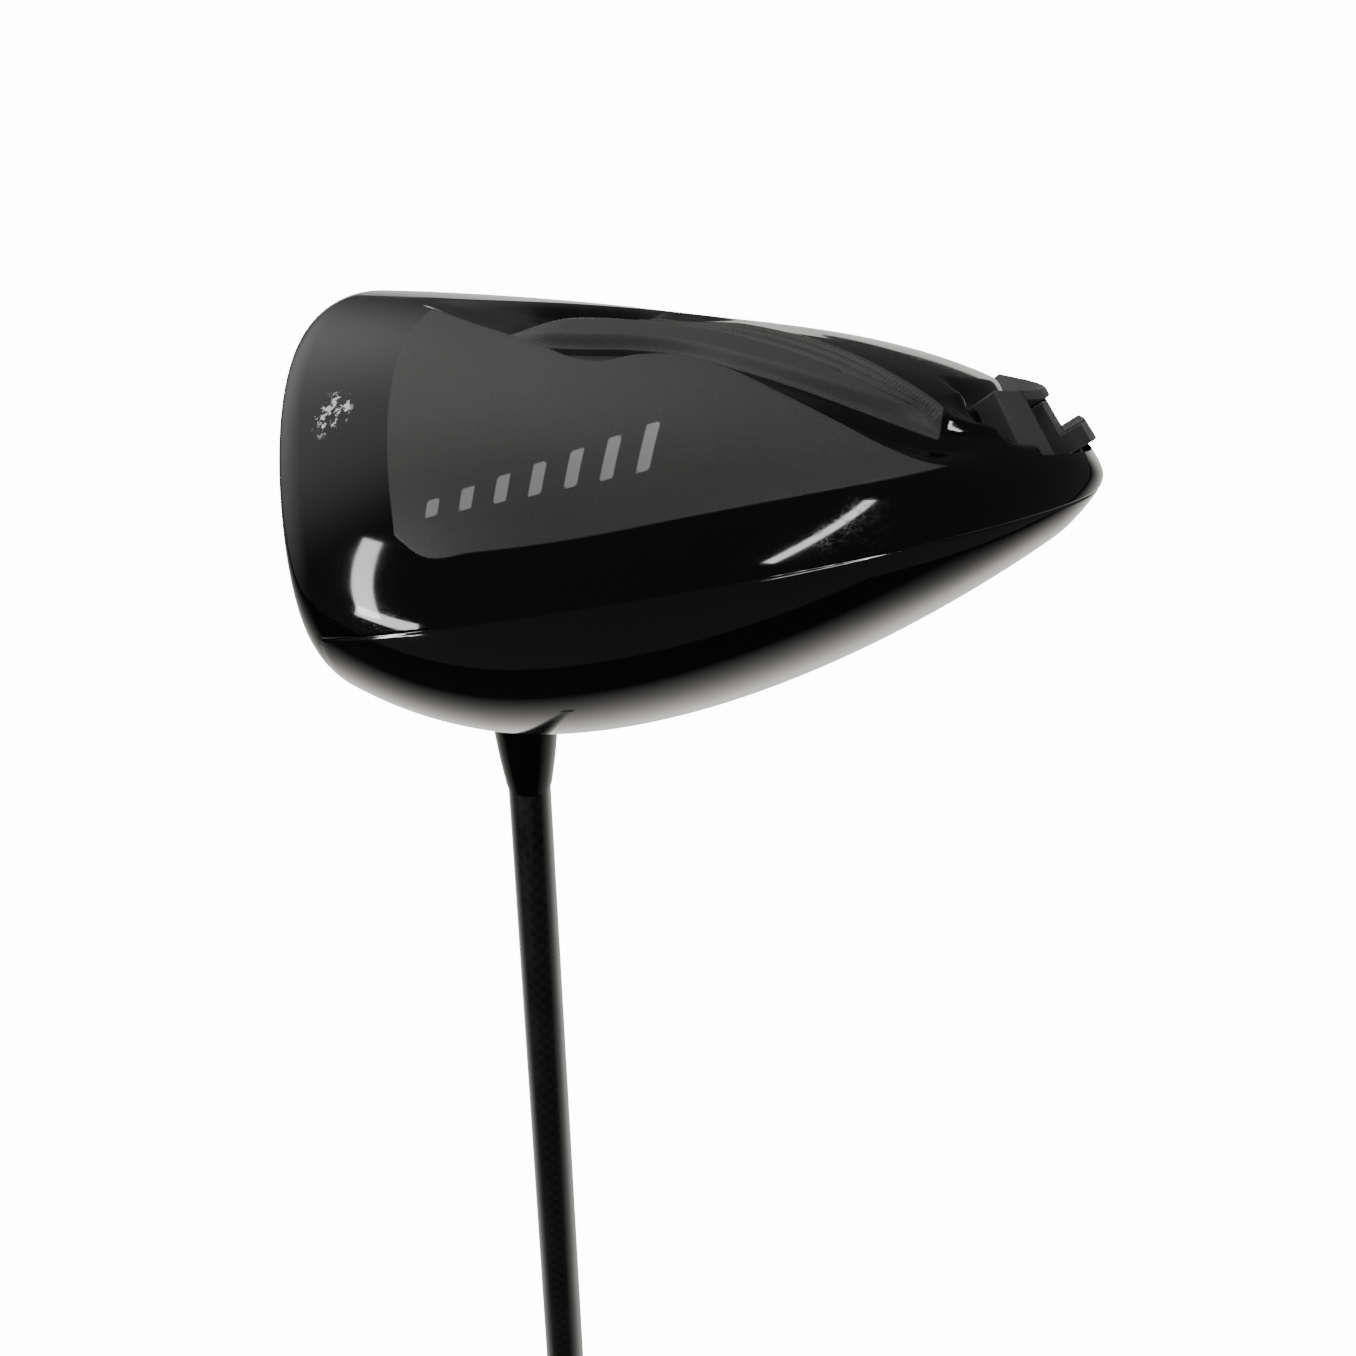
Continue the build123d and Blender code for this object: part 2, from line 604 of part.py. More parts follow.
tape_bottom, tape_top = CAP_HEIGHT + 1, GRIP_LENGTH - 4
with BuildPart() as grip_tape:
    low, high = shaft_radius(tape_bottom) + GLUE_GAP, shaft_radius(tape_top) + GLUE_GAP
    add(
        turned(
            (low, tape_bottom), (low + TAPE_THICKNESS, tape_bottom),
            (high + TAPE_THICKNESS, tape_top), (high, tape_top),
        )
    )
write(grip_tape, "grip_tape")

with BuildPart() as grip:
    clearance = 2 * GLUE_GAP + TAPE_THICKNESS
    with BuildSketch(Plane.XZ):
        with BuildLine():
            Spline(
                (CAP_RADIUS - 0.3, CAP_HEIGHT), (12.6, 60), (11.7, 110), (10.6, 180), (9.9, 240),
                (9.3, GRIP_LENGTH - 1),
            )
            Line((9.3, GRIP_LENGTH - 1), (9.0, GRIP_LENGTH))
            Line((9.0, GRIP_LENGTH), (shaft_radius(GRIP_LENGTH) + clearance, GRIP_LENGTH))
            Line(
                (shaft_radius(GRIP_LENGTH) + clearance, GRIP_LENGTH),
                (shaft_radius(CAP_HEIGHT) + clearance, CAP_HEIGHT),
            )
            Line((shaft_radius(CAP_HEIGHT) + clearance, CAP_HEIGHT), (CAP_RADIUS - 0.3, CAP_HEIGHT))
        make_face()
    revolve(axis=Axis.Z)
write(grip, "grip")

with BuildPart() as grip_cap:
    add(
        turned(
            (VENT_RADIUS, 0),
            (CAP_RADIUS, 0),
            (CAP_RADIUS, CAP_HEIGHT),
            (SHAFT_BUTT_RADIUS + GLUE_GAP, CAP_HEIGHT),
            (SHAFT_BUTT_RADIUS + GLUE_GAP, CAP_WALL),
            (VENT_RADIUS, CAP_WALL),
        )
    )
write(grip_cap, "grip_cap")
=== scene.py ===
"""Looks of the golf driver: the sculpted head, the paint, the shaft and the grip, round the CAD frame."""

import math

import bmesh
import bpy
import numpy as np
from mathutils import Matrix, Vector


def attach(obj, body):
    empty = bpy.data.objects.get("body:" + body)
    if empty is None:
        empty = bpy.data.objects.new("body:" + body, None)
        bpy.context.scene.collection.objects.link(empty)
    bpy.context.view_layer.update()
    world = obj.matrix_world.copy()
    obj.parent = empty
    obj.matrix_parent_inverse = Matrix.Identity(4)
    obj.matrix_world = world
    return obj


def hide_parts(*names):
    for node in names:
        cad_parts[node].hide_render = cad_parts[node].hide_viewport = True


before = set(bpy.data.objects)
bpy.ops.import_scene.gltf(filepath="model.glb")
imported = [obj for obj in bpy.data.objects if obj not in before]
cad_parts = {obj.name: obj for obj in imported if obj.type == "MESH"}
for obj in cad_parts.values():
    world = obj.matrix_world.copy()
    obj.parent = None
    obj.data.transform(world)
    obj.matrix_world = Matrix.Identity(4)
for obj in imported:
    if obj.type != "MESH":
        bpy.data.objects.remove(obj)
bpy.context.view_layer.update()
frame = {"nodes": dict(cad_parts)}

# ---------------------------------------------------------------- head frame, in millimetres
# X runs from the face to the back, Y from heel to toe and Z from sole to crown, from below the face
CLUB, SLEEVE_TOP = 1156.0, 90.0
LIE, TILT = math.radians(58), math.radians(1)
AXIS_BACK, AXIS_HEEL = 16.5, 28.5
HEAD_LENGTH, WIDEST_X = 115.3, 38.5
FACE_RADIUS, LOFT = 300.0, math.radians(10)

along = LIE - TILT
HEAD_AXES = np.array(
    [[1, 0, 0], [0, -math.sin(along), -math.cos(along)], [0, math.cos(along), -math.sin(along)]]
)
sleeve_y = -AXIS_HEEL * math.sin(LIE)
sleeve_z = SLEEVE_TOP + AXIS_HEEL * math.cos(LIE)
HEAD_ORIGIN = np.array(
    [
        -AXIS_BACK,
        sleeve_y * math.cos(TILT) + sleeve_z * math.sin(TILT),
        CLUB - SLEEVE_TOP - sleeve_y * math.sin(TILT) + sleeve_z * math.cos(TILT),
    ]
)
UP_HOSEL = np.array([0, -math.cos(LIE), math.sin(LIE)])
HOSEL_FOOT = np.array([AXIS_BACK, -AXIS_HEEL, 0.0])
TRACK_X, TRACK_RADIUS, TRACK_HEIGHT, TRACK_TILT = 63.0, 45.4, 9.7, math.radians(38)


def to_club(points):
    """Head-frame points in millimetres as club-frame points in metres."""
    return (np.asarray(points, float) @ HEAD_AXES.T + HEAD_ORIGIN) / 1000


def smooth(low, high, x):
    """0 below low, 1 above high, and an eased rise between."""
    t = np.clip((x - low) / (high - low), 0, 1)
    return t * t * (3 - 2 * t)


def curve(points):
    """Smooth function y(x) through points, with its slope."""
    xs, ys = np.array(points, float).T
    slopes = np.gradient(ys, xs)

    def at(x):
        x = np.clip(x, xs[0], xs[-1])
        i = np.clip(np.searchsorted(xs, x) - 1, 0, len(xs) - 2)
        h = xs[i + 1] - xs[i]
        t = (x - xs[i]) / h
        a, b = ys[i], ys[i + 1]
        ma, mb = slopes[i] * h, slopes[i + 1] * h
        y = a + ma * t + (3 * (b - a) - 2 * ma - mb) * t**2 + (2 * (a - b) + ma + mb) * t**3
        slope = (ma + 2 * (3 * (b - a) - 2 * ma - mb) * t + 3 * (2 * (a - b) + ma + mb) * t**2) / h
        return y, slope

    return at


def side_of(line, x, y):
    """Signed distance of (x, y) from a curve y(x), positive beyond it."""
    level, slope = line(x)
    return (y - level) / np.hypot(1, slope)


# ---------------------------------------------------------------- head surface
FRONT_POWER = 2.2
TOE_HALF, TOE_TAPER = 62, 13.3
HEEL_HALF, HEEL_TAPER = 58, 9.2
TALLEST_X, CROWN_TOP, CROWN_FRONT_DROP, CROWN_BACK_DROP, CROWN_POWER = 36.2, 62.9, 12.9, 42.8, 1.69
LOWEST_X, SOLE_FRONT_RISE, SOLE_BACK_RISE = 54, 2.2, 12.9
TAIL_ROUND = 6
EQUATOR, EQUATOR_DROP = 29.8, 13.3
BOXINESS = 0.03
FACE_MIDDLE = 29.0


def half_widths(x):
    """Half widths of the head at station x, on the toe's side and on the heel's."""
    front = np.clip((WIDEST_X - x) / WIDEST_X, 0, None) ** FRONT_POWER
    back = np.clip((x - WIDEST_X) / (HEAD_LENGTH - WIDEST_X), 0, 1)
    share = np.sqrt(1 - back**2)
    return (TOE_HALF - TOE_TAPER * front) * share, (HEEL_HALF - HEEL_TAPER * front) * share


def heights(x):
    """Heights of the crown and of the sole at station x."""
    front = np.clip((TALLEST_X - x) / TALLEST_X, 0, None) ** FRONT_POWER
    back = np.clip((x - TALLEST_X) / (HEAD_LENGTH - TALLEST_X), 0, 1)
    top = CROWN_TOP - CROWN_FRONT_DROP * front - CROWN_BACK_DROP * back**CROWN_POWER
    low = SOLE_FRONT_RISE * np.clip((LOWEST_X - x) / LOWEST_X, 0, None) ** 2.5
    low = low + SOLE_BACK_RISE * np.clip((x - LOWEST_X) / (HEAD_LENGTH - LOWEST_X), 0, 1) ** 3.2
    ease = np.sqrt(1 - (1 - np.clip((HEAD_LENGTH - x) / TAIL_ROUND, 0, 1)) ** 2)
    middle = (top + low) / 2
    return middle + (top - middle) * ease, middle + (low - middle) * ease


def section(x, angle):
    """Point of the head's skin at station x; angle 0 is the toe, 90 degrees the crown, 270 the sole."""
    toe, heel = half_widths(x)
    top, low = heights(x)
    equator = EQUATOR - EQUATOR_DROP * np.clip(x / HEAD_LENGTH, 0, None) ** 1.5
    across = (np.cos(angle) - BOXINESS * np.cos(3 * angle)) / (1 - BOXINESS)
    rise = (np.sin(angle) + BOXINESS * np.sin(3 * angle)) / (1 - BOXINESS)
    y = (toe - heel) / 2 + (toe + heel) / 2 * across
    z = equator + (top - low) / 2 * rise + ((top + low) / 2 - equator) * rise**2
    return np.stack([x + 0 * angle, y, z], axis=-1)


FACE_CENTRE = np.array([23 * math.tan(LOFT), 0, FACE_MIDDLE])
BALL_CENTRE = FACE_CENTRE + FACE_RADIUS * np.array([math.cos(LOFT), 0, -math.sin(LOFT)])


def face_x(y, z):
    """Station of the bulged face at (y, z)."""
    return BALL_CENTRE[0] - np.sqrt(FACE_RADIUS**2 - y**2 - (z - BALL_CENTRE[2]) ** 2)


# ---------------------------------------------------------------- sculpted sole
# lines on the sole as y(x), for the toe's side; the heel's side mirrors them
RIDGE = curve([(12, 18.5), (20, 27), (28, 35), (34, 39.6), (40, 43.6), (45, 46.4), (48.5, 46), (52, 42.8),
               (57, 40.8), (63, 42.2), (71, 45.6), (79, 46.9), (86, 46), (92, 43.2), (98.5, 37.7), (104, 31)])
TONGUE_LOW = curve([(28, 33), (32.6, 35.6), (37, 37.6), (43, 37.2), (50, 34.6), (56, 34.2), (65, 37.2),
                    (73, 39.3), (81, 40), (88, 38.8), (95, 35.6), (100, 32)])
TONGUE_TOP = curve([(28, 33), (32.6, 34.6), (37, 29.5), (43, 24), (50, 21.6), (56, 22.6), (65, 28.2),
                    (73, 33.3), (81, 36.6), (88, 37), (94, 35.8), (100, 31)])
GROOVE_OUT = curve([(44, 21.5), (52, 19.6), (60, 22.4), (68.7, 28), (79.3, 34.4), (86.3, 36.6), (92, 36.3)])
GROOVE_IN = curve([(44, 8.5), (52, 7.6), (60, 10.6), (68.7, 17), (77, 24.8), (86, 32.4), (92, 35.8)])
KEEL = curve([(12, 18), (21, 19.4), (30, 16.6), (38, 11.6), (47, 6.5), (56, 5), (66, 7), (76, 12.5),
              (88, 20), (100, 26)])
# matte panel's lower edge on the toe's flank, as height z(x)
PANEL_LOW = curve([(20, 24), (25, 27.6), (30.7, 31.2), (37.3, 29.8), (48, 27.1), (64.1, 22.2),
                   (76.3, 18.7), (90.5, 14.9), (100, 12)])
PANEL_FRONT_X = 24.6
CHANNEL_DEPTH, GROOVE_DEPTH, POCKET_DEPTH, VALLEY_DEPTH = 1.9, 1.1, 2.3, 1.5


def track_polar(x, y):
    """Radius and angle about the weight track's axis."""
    return np.hypot(x - TRACK_X, y), np.arctan2(np.abs(y), x - TRACK_X)


def folded(y):
    """Distance from the head's middle plane, with the heel's side stretched to match the toe's."""
    return np.abs(y) * np.where(y > 0, 1, TOE_HALF / HEEL_HALF)


def grooves(x):
    """Level and slope at x of each of the tongue's three grooves."""
    (outer, outer_slope), (inner, inner_slope) = GROOVE_OUT(x), GROOVE_IN(x)
    for share in (0.0, 0.5, 1.0):
        yield (1 - share) * outer + share * inner, (1 - share) * outer_slope + share * inner_slope


def sole_depth(p):
    """How far the sole's skin lies inside the plain head surface at each point, in millimetres."""
    x, y = p[..., 0], folded(p[..., 1])
    # a channel inside the ridge, filled again by the tongue and deeper past the tongue's inner edge in front
    channel = CHANNEL_DEPTH * smooth(14, 34, x) * (1 - smooth(92, 103, x))
    above_low, below_top = -side_of(TONGUE_LOW, x, y), side_of(TONGUE_TOP, x, y)
    tongue = np.minimum(above_low, below_top + 30 * smooth(36, 60, x))
    depth = channel * smooth(0, -2.3, side_of(RIDGE, x, y))
    depth -= 0.95 * channel * smooth(0.0, 1.5, above_low) * smooth(30, 40, x) * smooth(-3, 0, tongue)
    depth += 0.55 * channel * (smooth(0, -3.5, below_top) * (1 - smooth(50, 62, x)) * smooth(31, 38, x))
    depth *= smooth(-4.5, 1.5, side_of(KEEL, x, y))
    # the tongue's grooves, which narrow and fade towards the back
    width = 1.0 - 0.45 * smooth(70, 92, x)
    for level, slope in grooves(x):
        off = np.abs((y - level) / np.hypot(1, slope))
        depth += GROOVE_DEPTH * (1 - smooth(0, width, off)) * smooth(43, 54, x) * (1 - smooth(90.5, 93, x))
    # the hollow round the weight's housing, and the small valley beside it
    radius, angle = track_polar(x, p[..., 1])
    pocket = smooth(34.5, 39.5, radius) * (1 - smooth(47.5, 50, radius))
    depth += POCKET_DEPTH * pocket * (1 - smooth(math.radians(35), math.radians(41), angle))
    valley = np.hypot((x - 97.5) / 6.5, (y - 27 + 0.9 * (x - 97.5)) / 5.5)
    depth += VALLEY_DEPTH * (1 - smooth(0.25, 1, valley))
    return depth


# ---------------------------------------------------------------- head mesh
AROUND = 1200
SEAM_WIDTH, SEAM_DEPTH = 0.28, 0.12
SEAM_HEIGHT, SEAM_SLOPE, SEAM_FRONT, SEAM_HOSEL = 50, 0.28, 15, 17
EDGE_ROUND, FRONT_X = 4.0, 12
FACE_RINGS, EDGE_RINGS, FRONT_RINGS, BACK_RINGS = 56, 12, 50, 200


def seam_distance(p):
    """Signed distance from the crown's seam: positive on the crown."""
    x, z = p[..., 0], p[..., 2]
    above = (z - (SEAM_HEIGHT - SEAM_SLOPE * x)) / math.hypot(1, SEAM_SLOPE)
    from_axis = p - HOSEL_FOOT
    away = np.linalg.norm(from_axis - (from_axis @ UP_HOSEL)[..., None] * UP_HOSEL, axis=-1) - SEAM_HOSEL
    away = np.where(from_axis @ UP_HOSEL > 20, away, 99)
    return np.minimum(np.minimum(above, x - SEAM_FRONT), away)


def head_rings():
    """Rings of points: the face from its middle out, its rounded edge, then the skin to the tail."""
    angle = np.linspace(0, 2 * np.pi, AROUND, endpoint=False)
    edge_x = np.full(AROUND, 8.0)
    for _ in range(25):
        edge = section(edge_x, angle)
        edge_x = face_x(edge[:, 1], edge[:, 2])
    corner = section(edge_x, angle)
    middle = np.array([0, FACE_MIDDLE])
    inner = 1 - EDGE_ROUND / np.linalg.norm(corner[:, 1:] - middle, axis=1)

    def face_ring(share):
        yz = middle + (corner[:, 1:] - middle) * share[:, None]
        return np.column_stack([face_x(yz[:, 0], yz[:, 1]), yz])

    rings, kinds = [], []
    for k in np.concatenate([[0.004], np.linspace(0.03, 1, FACE_RINGS)]):
        rings.append(face_ring(inner * k))
        kinds.append("face")
    start, end = face_ring(inner), section(edge_x + EDGE_ROUND, angle)
    for t in np.linspace(0, 1, EDGE_RINGS + 2)[1:-1]:
        w0, w1, w2 = (1 - t) ** 2, 2 * t * (1 - t) * math.cos(math.pi / 4), t**2
        rings.append((w0 * start + w1 * corner + w2 * end) / (w0 + w1 + w2))
        kinds.append("edge")
    front = np.linspace(0, 1, FRONT_RINGS, endpoint=False) * (WIDEST_X - FRONT_X)
    turns = np.linspace(0, np.pi / 2 - 0.012, BACK_RINGS)
    back = WIDEST_X - FRONT_X + (HEAD_LENGTH - WIDEST_X) * np.sin(turns)
    for reach in np.concatenate([front, back]) / (HEAD_LENGTH - FRONT_X):
        rings.append(section(edge_x + EDGE_ROUND + (HEAD_LENGTH - edge_x - EDGE_ROUND) * reach, angle))
        kinds.append("skin")
    return np.array(rings), np.array(kinds)


def grid_normals(rings):
    """Outward unit normals of a grid of rings."""
    du = np.gradient(rings, axis=0)
    dv = (np.roll(rings, -1, axis=1) - np.roll(rings, 1, axis=1)) / 2
    n = np.cross(dv, du)
    return n / np.maximum(np.linalg.norm(n, axis=-1, keepdims=True), 1e-12)


def new_mesh(name, points, faces, normals=None, attributes=None):
    """Mesh object from club-frame points in metres, with smooth shading."""
    mesh = bpy.data.meshes.new(name)
    mesh.from_pydata([tuple(p) for p in points], [], [tuple(f) for f in faces])
    mesh.update()
    mesh.polygons.foreach_set("use_smooth", [True] * len(mesh.polygons))
    for key, values in (attributes or {}).items():
        layer = mesh.attributes.new(key, "FLOAT", "POINT")
        layer.data.foreach_set("value", np.asarray(values, np.float32))
    if normals is not None:
        mesh.normals_split_custom_set_from_vertices([tuple(n) for n in normals])
    obj = bpy.data.objects.new(name, mesh)
    bpy.context.scene.collection.objects.link(obj)
    return obj


def ring_faces(rows, columns, closed=True):
    """Quads of a grid of points, as corner indices; they face outward for rows that run front to back."""
    r, c = np.meshgrid(np.arange(rows - 1), np.arange(columns if closed else columns - 1), indexing="ij")
    after = (c + 1) % columns
    here, below = r * columns, (r + 1) * columns
    return np.stack([here + c, below + c, below + after, here + after], -1)


def keep_faces(name, keep, node, attributes=None):
    """The head's kept faces as a mesh of their own, riding on the head and standing for a CAD node."""
    kept = faces[keep]
    used, inverse = np.unique(kept, return_inverse=True)
    obj = new_mesh(
        name,
        to_club(points[used]),
        inverse.reshape(kept.shape).tolist(),
        normals[used] @ HEAD_AXES.T,
        {key: value[used] for key, value in (attributes or {}).items()},
    )
    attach(obj, "head")
    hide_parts(node)
    return obj


plain, kinds = head_rings()
plain_normals = grid_normals(plain)
outward = np.sign(np.sum(plain_normals * (plain - np.array([50, 0, 30])), axis=-1).mean())
plain_normals *= outward
is_skin = (kinds == "skin")[:, None]

underside = smooth(0.0, -0.18, plain_normals[..., 2])
depth = sole_depth(plain) * underside * is_skin * smooth(8, 16, plain[..., 0])
depth += SEAM_DEPTH * (1 - smooth(0, SEAM_WIDTH, np.abs(seam_distance(plain)))) * is_skin
head = plain - plain_normals * depth[..., None]
head_normals = grid_normals(head) * outward

rows, columns = head.shape[:2]
points = head.reshape(-1, 3)
normals = head_normals.reshape(-1, 3)
faces = ring_faces(rows, columns).reshape(-1, 4)
if outward > 0:
    faces = faces[:, ::-1]
centres = points[faces].mean(axis=1)
face_row = faces.min(axis=1) // columns

# the face plate ends on one of the face's rings
PLATE_MARGIN = 9
face_rows = int((kinds == "face").sum())
on_plate = face_row < face_rows - PLATE_MARGIN
on_crown = (seam_distance(centres) > 0) & (face_row > face_rows)

# openings: the screw port in the sole, the weight track's mouth, and the skin under the hosel's fairing
PORT_RADIUS, BLEND_RADIUS, BLEND_CENTRE = 5.6, 19.0, 46.0
MOUTH_HALF, MOUTH_DEPTH, MOUTH_ANGLE = 5.2, -9, math.radians(32.2)


def track_local(p):
    """Depth out of the track's mouth, height across it and angle along it, of head-frame points."""
    radius, angle = track_polar(p[..., 0], p[..., 1])
    r, z = radius - TRACK_RADIUS, p[..., 2] - TRACK_HEIGHT
    c, s = math.cos(TRACK_TILT), math.sin(TRACK_TILT)
    return r * c - z * s, r * s + z * c, angle


from_axis = centres - HOSEL_FOOT
height = from_axis @ UP_HOSEL
away = np.linalg.norm(from_axis - height[:, None] * UP_HOSEL, axis=1)
in_port = (away < PORT_RADIUS + 0.5) & (height < 20)
in_blend = np.linalg.norm(from_axis - BLEND_CENTRE * UP_HOSEL, axis=1) < BLEND_RADIUS - 0.7
out, across, angle = track_local(centres)
in_track = (np.abs(across) < MOUTH_HALF) & (out > MOUTH_DEPTH) & (angle < MOUTH_ANGLE)
body_keep = ~(on_plate | on_crown | in_port | in_blend | in_track)


# ---------------------------------------------------------------- where the paint changes
PANEL_SPREAD = 0.14
MARK_START, MARK_TURN, MARK_SLANT = np.array([31.5, 25.0]), math.radians(-22), 0.45
MARK_BARS, MARK_STEP, MARK_HALF_WIDTH = 7, 4.6, 0.95
NO_MARK = -9.0
# a patch of light grey speckles painted on the front toe's lower corner as a highlight, where that corner
# catches the light
HIGHLIGHT_PATCH_CENTRE, HIGHLIGHT_PATCH_REACH = np.array([15.0, 53.0, 15.5]), [5.0, 6.0, 6.5]


def panel_share(p):
    """Signed distance into the blasted areas: the panel on the toe's flank and the tongue on both sides."""
    x, y, z = p[:, 0], p[:, 1], p[:, 2]
    aside = folded(y)
    below = -(z - PANEL_LOW(x)[0]) * 0.9
    front = x - PANEL_FRONT_X - 0.25 * (z - 20)
    panel = np.minimum.reduce([below, side_of(RIDGE, x, y) + 0.7, front, y - 12])
    inner = np.where(x < 46, side_of(TONGUE_TOP, x, aside), side_of(GROOVE_IN, x, aside) + 2)
    tongue = np.minimum.reduce([-side_of(TONGUE_LOW, x, aside), inner, x - 33, 92 - x, 26 - z])
    for level, _ in grooves(x):
        beside_groove = np.maximum.reduce([np.abs(aside - level) - 0.75, 44 - x, x - 78])
        tongue = np.minimum(tongue, beside_groove)
    return np.maximum(panel, tongue) + PANEL_SPREAD


def mark_share(p):
    """Signed distance into a row of slanted bars that grow towards the back, printed on the panel."""
    du, dv = (p[:, [0, 2]] - MARK_START).T
    u = du * math.cos(MARK_TURN) + dv * math.sin(MARK_TURN)
    v = -du * math.sin(MARK_TURN) + dv * math.cos(MARK_TURN)
    mark = np.full(len(p), NO_MARK)
    for bar in range(MARK_BARS):
        half_height = 1.1 + 0.28 * bar
        sideways = MARK_HALF_WIDTH - np.abs(u - MARK_STEP * bar + MARK_SLANT * v)
        mark = np.maximum(mark, np.minimum(sideways, half_height - np.abs(v)))
    return np.where(p[:, 1] > 30, mark, NO_MARK)


def painted_highlight_share(p):
    """1 at the middle of the painted highlight on the front toe's lower corner, 0 at its edge."""
    return 1 - np.linalg.norm((p - HIGHLIGHT_PATCH_CENTRE) / HIGHLIGHT_PATCH_REACH, axis=1)


looks = {"panel": panel_share(points), "mark": mark_share(points), "painted_highlight": painted_highlight_share(points)}
body = keep_faces("head_body", body_keep, "body_shell", looks)
crown = keep_faces("head_crown", on_crown & ~in_blend, "crown_shell")
plate = keep_faces("head_face", on_plate, "face_plate")


# ---------------------------------------------------------------- hosel fairing
def inside_head(p):
    """True where a point lies inside the plain head."""
    toe, heel = half_widths(p[0])
    trial = np.linspace(0, 2 * np.pi, 721)
    skin = section(np.full(721, p[0]), trial)
    middle = (toe - heel) / 2
    y, z = p[1] - middle, p[2] - FACE_MIDDLE
    edge = np.arctan2(skin[:, 2] - FACE_MIDDLE, skin[:, 1] - middle)
    reach = np.hypot(skin[:, 1] - middle, skin[:, 2] - FACE_MIDDLE)
    order = np.argsort(edge)
    limit = np.interp(np.arctan2(z, y), edge[order], reach[order], period=2 * np.pi)
    return math.hypot(y, z) < limit and p[0] > face_x(p[1], p[2])


SIDE_A = np.array([1.0, 0, 0])
SIDE_B = np.cross(UP_HOSEL, SIDE_A)
NECK_TOP, NECK_RADIUS, NECK_JOIN, NECK_AIM = 74.0, 7.4, 64.0, 58
HEAD_PULL, NECK_PULL = 17, 24
MOUTH_ROUND = 0.4


def around_hosel(steps):
    """Unit vectors square to the hosel's axis, all the way round it."""
    for a in np.linspace(0, 2 * np.pi, steps, endpoint=False):
        yield math.cos(a) * SIDE_A + math.sin(a) * SIDE_B


def bisect(test, low, high):
    """A narrow bracket about the place between low and high where test turns true."""
    for _ in range(30):
        mid = (low + high) / 2
        low, high = (low, mid) if test(mid) else (mid, high)
    return low, high


def hosel_fairing(steps=96, rows_up=28):
    """Skin that leaves the head along a closed line round the hosel and becomes the hosel's tube."""
    centre = HOSEL_FOOT + BLEND_CENTRE * UP_HOSEL
    ring, tangents, tops = [], [], []
    for side in around_hosel(steps):

        def on_ball(turn):
            return centre + BLEND_RADIUS * (math.cos(turn) * UP_HOSEL + math.sin(turn) * side)

        low, _ = bisect(lambda turn: inside_head(on_ball(turn)), 0.0, math.pi * 0.9)
        ring.append(on_ball(low))
        tops.append(HOSEL_FOOT + NECK_JOIN * UP_HOSEL + NECK_RADIUS * side)
    ring, tops = np.array(ring), np.array(tops)
    from_points = plain.reshape(-1, 3)
    near = np.linalg.norm(from_points - centre, axis=1) < BLEND_RADIUS + 3
    from_points, from_normals = from_points[near], plain_normals.reshape(-1, 3)[near]
    for p in ring:
        n = from_normals[np.argmin(np.linalg.norm(from_points - p, axis=1))]
        to_top = HOSEL_FOOT + NECK_AIM * UP_HOSEL - p
        tangent = to_top - (to_top @ n) * n
        tangents.append(tangent / np.linalg.norm(tangent))
    tangents = np.array(tangents)
    rows_made = []
    for t in np.linspace(0, 1, rows_up):
        h00, h10 = 2 * t**3 - 3 * t**2 + 1, t**3 - 2 * t**2 + t
        h01, h11 = -2 * t**3 + 3 * t**2, t**3 - t**2
        rows_made.append(h00 * ring + h10 * HEAD_PULL * tangents + h01 * tops + h11 * NECK_PULL * UP_HOSEL)
    rows_made.append(tops + (NECK_TOP - MOUTH_ROUND - NECK_JOIN) * UP_HOSEL)
    shrink = (tops - HOSEL_FOOT - NECK_JOIN * UP_HOSEL) * (-MOUTH_ROUND / NECK_RADIUS)
    rows_made.append(tops + (NECK_TOP - NECK_JOIN) * UP_HOSEL + shrink)
    rows_made.append(tops + (NECK_TOP - NECK_JOIN) * UP_HOSEL + 2 * shrink)
    return np.array(rows_made)


fairing = hosel_fairing()
fairing_rows, fairing_columns = fairing.shape[:2]
fairing_faces = ring_faces(fairing_rows, fairing_columns).reshape(-1, 4)[:, ::-1]
neck = new_mesh("head_neck", to_club(fairing.reshape(-1, 3)), fairing_faces.tolist())
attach(neck, "head")


# ---------------------------------------------------------------- screw port and weight housing
def skin_level(side, radius):
    """Distance along the hosel's axis at which a line beside it enters the head through the sole."""
    return bisect(lambda level: inside_head(HOSEL_FOOT + level * UP_HOSEL + radius * side), -5.0, 30.0)[1]


def screw_port(steps=96):
    """Rim and bore of the port that the hosel's screw is reached through."""
    rim_profile = [(7.4, 0.05), (6.3, -0.06), (5.85, 0.1), (PORT_RADIUS, 0.5)]
    bore_end = 16.4
    rows_made = [[] for _ in range(len(rim_profile) + 1)]
    for side in around_hosel(steps):
        levels = [(radius, skin_level(side, radius) + rise) for radius, rise in rim_profile]
        levels.append((PORT_RADIUS, bore_end))
        for row, (radius, level) in zip(rows_made, levels):
            row.append(HOSEL_FOOT + level * UP_HOSEL + radius * side)
    return np.array(rows_made)


port = screw_port()
port_faces = ring_faces(*port.shape[:2]).reshape(-1, 4)
port_rim = new_mesh("port_rim", to_club(port.reshape(-1, 3)), port_faces.tolist())
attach(port_rim, "head")


def track_point(out, across, angle):
    """Head-frame point at a depth out of the mouth, a height across it and an angle along the track."""
    c, s = math.cos(TRACK_TILT), math.sin(TRACK_TILT)
    radius = TRACK_RADIUS + out * c + across * s
    height = TRACK_HEIGHT - out * s + across * c
    return np.array([TRACK_X + radius * math.cos(angle), radius * math.sin(angle), height])


